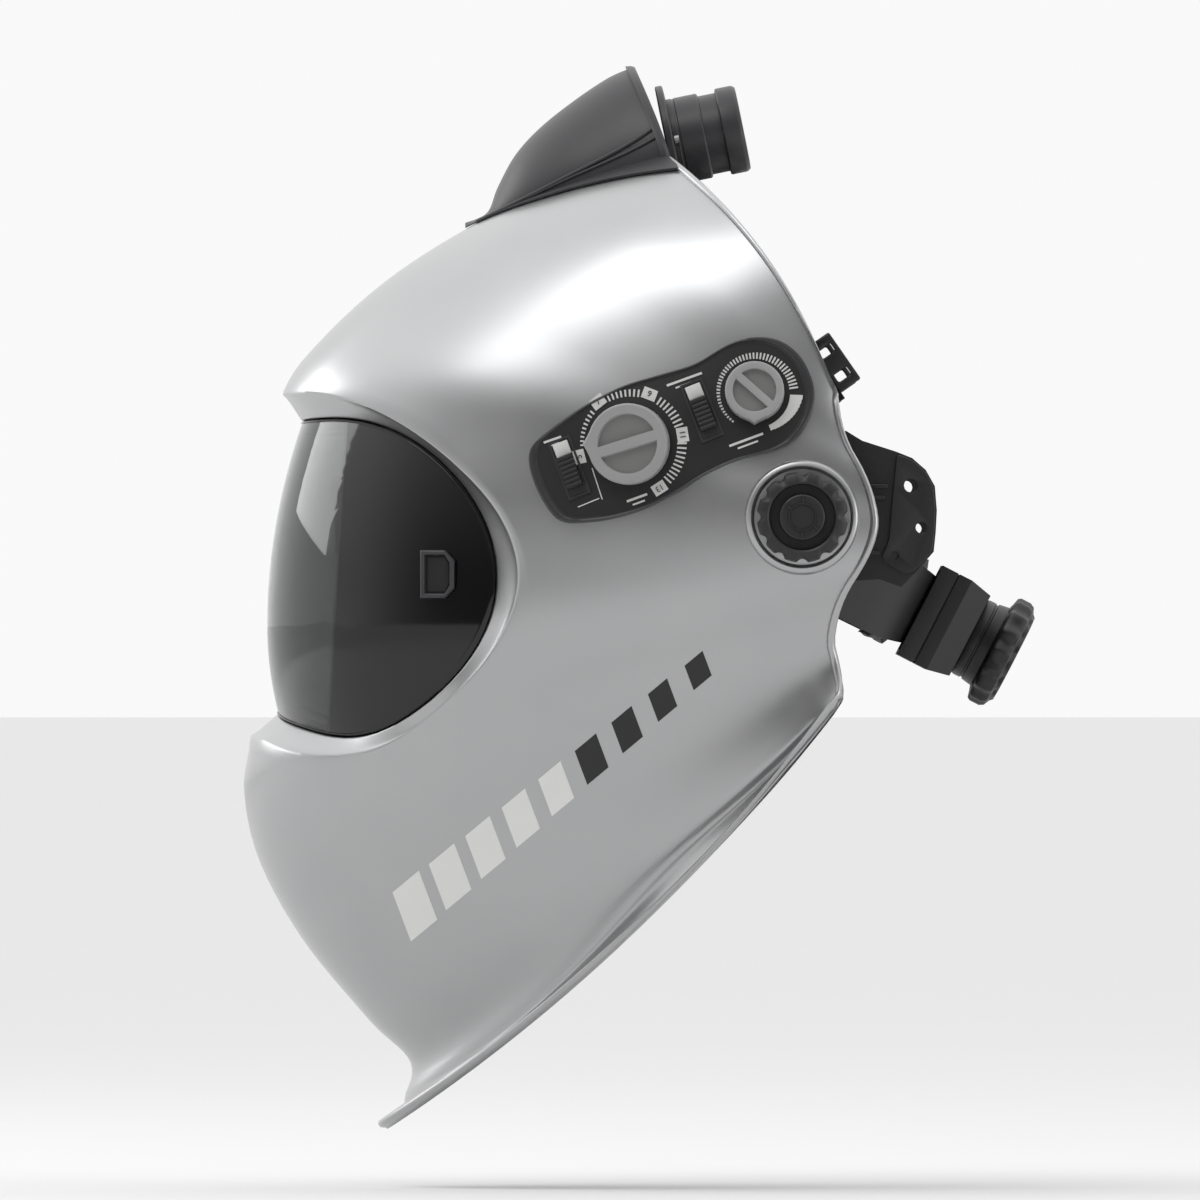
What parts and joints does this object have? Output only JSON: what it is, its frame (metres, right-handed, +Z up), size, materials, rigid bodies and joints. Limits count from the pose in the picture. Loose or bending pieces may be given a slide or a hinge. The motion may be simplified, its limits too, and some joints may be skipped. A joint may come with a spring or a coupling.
{
  "type": "powered air respirator helmet",
  "caption": "Auto-darkening welding helmet with an air duct hood and hose inlet on its crown, a wraparound visor, side controls and ratchet headgear.",
  "frame": {"origin": "midway between the two shell pivots, on their axis", "axes": "+Z up, -Y the way the wearer faces, +X the wearer's left"},
  "size_m": [0.2442, 0.281, 0.3781],
  "materials": {
    "silver_paint": "satin silver paint on a moulded shell",
    "black_plastic": "fine-grained black nylon",
    "hood_plastic": "satin dark grey moulded plastic",
    "lens": "polished polycarbonate, smoked at the sides",
    "glass": "dark filter glass",
    "panel_plastic": "matt black panel",
    "knob_grey": "satin grey plastic",
    "soft_black": "black knitted fabric over foam",
    "rubber": "black rubber",
    "steel": "zinc-plated steel",
    "cell": "dark glossy cell"
  },
  "bodies": {
    "headgear": {"headband_front": "black_plastic", "sweatband": "soft_black", "side_plate_left": "black_plastic", "side_plate_right": "black_plastic", "rear_band_left": "black_plastic", "rear_band_right": "black_plastic", "crown_strap_front": "black_plastic", "crown_strap_rear": "black_plastic", "crown_bridge": "black_plastic", "crown_pad": "soft_black", "strap_buckle_left": "black_plastic", "strap_buckle_right": "black_plastic"},
    "carriers": {"carrier_left": "black_plastic", "carrier_right": "black_plastic", "pivot_stud_left": "steel", "pivot_stud_right": "steel"},
    "shell": {"helmet_shell": "silver_paint", "front_cover_lens": "lens", "lens_gasket": "rubber", "cassette_holder": "black_plastic", "cassette_frame": "black_plastic", "filter_glass": "glass", "inner_cover_lens": "glass", "solar_cell": "cell", "arc_sensor_left": "cell", "arc_sensor_right": "cell", "control_panel": "panel_plastic", "control_module": "black_plastic", "control_cable": "rubber", "duct_hood": "hood_plastic", "inlet_flange": "hood_plastic", "flange_screw_left": "steel", "flange_screw_right": "steel", "inner_duct": "black_plastic", "friction_washer_left": "rubber", "friction_washer_right": "rubber"},
    "pivot_knob_left": {"pivot_knob_left": "black_plastic", "knob_cap_left": "black_plastic"},
    "pivot_knob_right": {"pivot_knob_right": "black_plastic", "knob_cap_right": "black_plastic"},
    "shade_knob": {"shade_knob": "knob_grey"},
    "sensitivity_knob": {"sensitivity_knob": "knob_grey"},
    "mode_switch": {"mode_switch": "black_plastic"},
    "range_switch": {"range_switch": "black_plastic"},
    "lens_clip_left": {"lens_clip_left": "black_plastic"},
    "lens_clip_right": {"lens_clip_right": "black_plastic"},
    "inlet_tube": {"inlet_tube": "hood_plastic"},
    "battery_drawer_left": {"battery_drawer_left": "black_plastic"},
    "battery_drawer_right": {"battery_drawer_right": "black_plastic"},
    "ratchet": {"ratchet_housing": "hood_plastic", "nape_pad": "soft_black", "rack_left": "black_plastic", "rack_right": "black_plastic"},
    "ratchet_knob": {"ratchet_knob": "black_plastic", "ratchet_pinion": "steel"}
  },
  "joints": [
    {"name": "eye_distance", "type": "slide", "parent": "headgear", "child": "carriers", "axis": [0, -1, 0], "range_m": [0, 0.01]},
    {"name": "shell_flip", "type": "hinge", "parent": "carriers", "child": "shell", "pos_m": [0, 0, 0], "axis": [-1, 0, 0], "range_deg": [0, 70]},
    {"name": "pivot_tighten_left", "type": "hinge", "parent": "carriers", "child": "pivot_knob_left", "pos_m": [0.1108, 0, 0], "axis": [1, 0, 0], "range_deg": [-180, 180]},
    {"name": "pivot_tighten_right", "type": "hinge", "parent": "carriers", "child": "pivot_knob_right", "pos_m": [-0.1108, 0, 0], "axis": [-1, 0, 0], "range_deg": [-180, 180]},
    {"name": "shade_turn", "type": "hinge", "parent": "shell", "child": "shade_knob", "pos_m": [0.10454, -0.06036, 0.02552], "axis": [0.9838, -0.175, 0.0374], "range_deg": [-135, 135]},
    {"name": "sensitivity_turn", "type": "hinge", "parent": "shell", "child": "sensitivity_knob", "pos_m": [0.10625, -0.0166, 0.04361], "axis": [0.981, -0.0316, 0.1915], "range_deg": [-135, 135]},
    {"name": "mode_slide", "type": "slide", "parent": "shell", "child": "mode_switch", "axis": [0.1829, 0.3432, -0.9213], "range_m": [-0.006, 0]},
    {"name": "range_slide", "type": "slide", "parent": "shell", "child": "range_switch", "axis": [0.2005, 0.364, -0.9096], "range_m": [-0.006, 0]},
    {"name": "lens_release_left", "type": "slide", "parent": "shell", "child": "lens_clip_left", "axis": [0.2807, 0.9598, 0], "range_m": [0, 0.003]},
    {"name": "lens_release_right", "type": "slide", "parent": "shell", "child": "lens_clip_right", "axis": [-0.2807, 0.9598, 0], "range_m": [0, 0.003]},
    {"name": "inlet_swivel", "type": "hinge", "parent": "shell", "child": "inlet_tube", "pos_m": [0, -0.048, 0.1329], "axis": [0, 0.9799, 0.1994], "continuous": true},
    {"name": "battery_out_left", "type": "slide", "parent": "shell", "child": "battery_drawer_left", "axis": [0, 1, 0], "range_m": [0, 0.012]},
    {"name": "battery_out_right", "type": "slide", "parent": "shell", "child": "battery_drawer_right", "axis": [0, 1, 0], "range_m": [0, 0.012]},
    {"name": "band_tighten", "type": "slide", "parent": "headgear", "child": "ratchet", "axis": [0, -0.8886, 0.4586], "range_m": [0, 0.008]},
    {"name": "ratchet_turn", "type": "hinge", "parent": "ratchet", "child": "ratchet_knob", "pos_m": [0, 0.06028, -0.04192], "axis": [0, 0.8886, -0.4586], "range_deg": [0, 208]}
  ],
  "couplings": [
    {"joint": "ratchet_turn", "follows": "band_tighten", "rad_per_m": 453.5}
  ]
}
